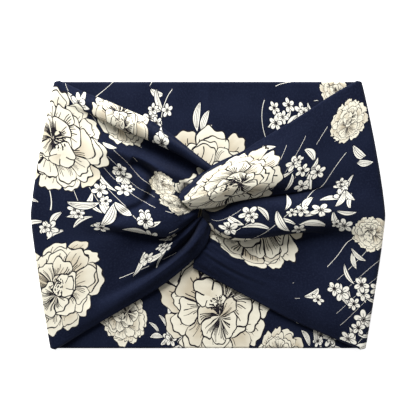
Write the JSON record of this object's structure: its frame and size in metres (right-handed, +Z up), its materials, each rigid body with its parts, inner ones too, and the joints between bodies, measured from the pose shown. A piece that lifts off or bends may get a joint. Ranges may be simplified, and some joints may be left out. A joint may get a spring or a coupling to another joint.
{
  "type": "knotted headband",
  "caption": "Wide stretch-jersey headband with a twist knot at the front, lying flat, whose loop opens at the sides, back and knot.",
  "frame": {"origin": "centre of the back panel's flat underside, with the band lying flat and the knot on top", "axes": "+X to the band's right across its width, +Y towards the band's upper edge, +Z up from the back panel to the knot"},
  "size_m": [0.24, 0.1778, 0.025],
  "materials": {
    "printed_jersey": "matte navy stretch jersey with a cream line-art floral print",
    "seam_thread": "matte overlock thread"
  },
  "bodies": {
    "back_centre": {"back_centre_outer_ply": "printed_jersey", "back_centre_inner_ply": "printed_jersey", "back_centre_long_seam": "seam_thread"},
    "back_left": {"back_left_outer_ply": "printed_jersey", "back_left_inner_ply": "printed_jersey", "back_left_long_seam": "seam_thread", "left_side_fold": "printed_jersey"},
    "front_left": {"front_left_outer_ply": "printed_jersey", "front_left_inner_ply": "printed_jersey", "front_left_long_seam": "seam_thread"},
    "knot_left": {"knot_left_loop": "printed_jersey", "knot_cross_seam": "seam_thread"},
    "back_right": {"back_right_outer_ply": "printed_jersey", "back_right_inner_ply": "printed_jersey", "back_right_long_seam": "seam_thread", "right_side_fold": "printed_jersey"},
    "front_right": {"front_right_outer_ply": "printed_jersey", "front_right_inner_ply": "printed_jersey", "front_right_long_seam": "seam_thread"},
    "knot_right": {"knot_right_loop": "printed_jersey"}
  },
  "joints": [
    {"name": "back_left_bend", "type": "hinge", "parent": "back_centre", "child": "back_left", "pos_m": [-0.035, 0, 0.00175], "axis": [0, 1, 0], "range_deg": [0, 60]},
    {"name": "left_fold", "type": "hinge", "parent": "back_left", "child": "front_left", "pos_m": [-0.1162, 0, 0.0038], "axis": [0, 1, 0], "range_deg": [-120, 0]},
    {"name": "left_knot_bend", "type": "hinge", "parent": "front_left", "child": "knot_left", "pos_m": [-0.035, 0, 0.00585], "axis": [0, 1, 0], "range_deg": [0, 60]},
    {"name": "back_right_bend", "type": "hinge", "parent": "back_centre", "child": "back_right", "pos_m": [0.035, 0, 0.00175], "axis": [0, 1, 0], "range_deg": [-60, 0]},
    {"name": "right_fold", "type": "hinge", "parent": "back_right", "child": "front_right", "pos_m": [0.1162, 0, 0.0038], "axis": [0, 1, 0], "range_deg": [0, 120]},
    {"name": "right_knot_bend", "type": "hinge", "parent": "front_right", "child": "knot_right", "pos_m": [0.035, 0, 0.00585], "axis": [0, 1, 0], "range_deg": [-60, 0]}
  ],
  "couplings": [
    {"joint": "left_fold", "follows": "back_left_bend", "ratio": -2},
    {"joint": "left_knot_bend", "follows": "back_left_bend", "ratio": 1},
    {"joint": "back_right_bend", "follows": "back_left_bend", "ratio": -1},
    {"joint": "right_fold", "follows": "back_left_bend", "ratio": 2},
    {"joint": "right_knot_bend", "follows": "back_left_bend", "ratio": -1}
  ]
}
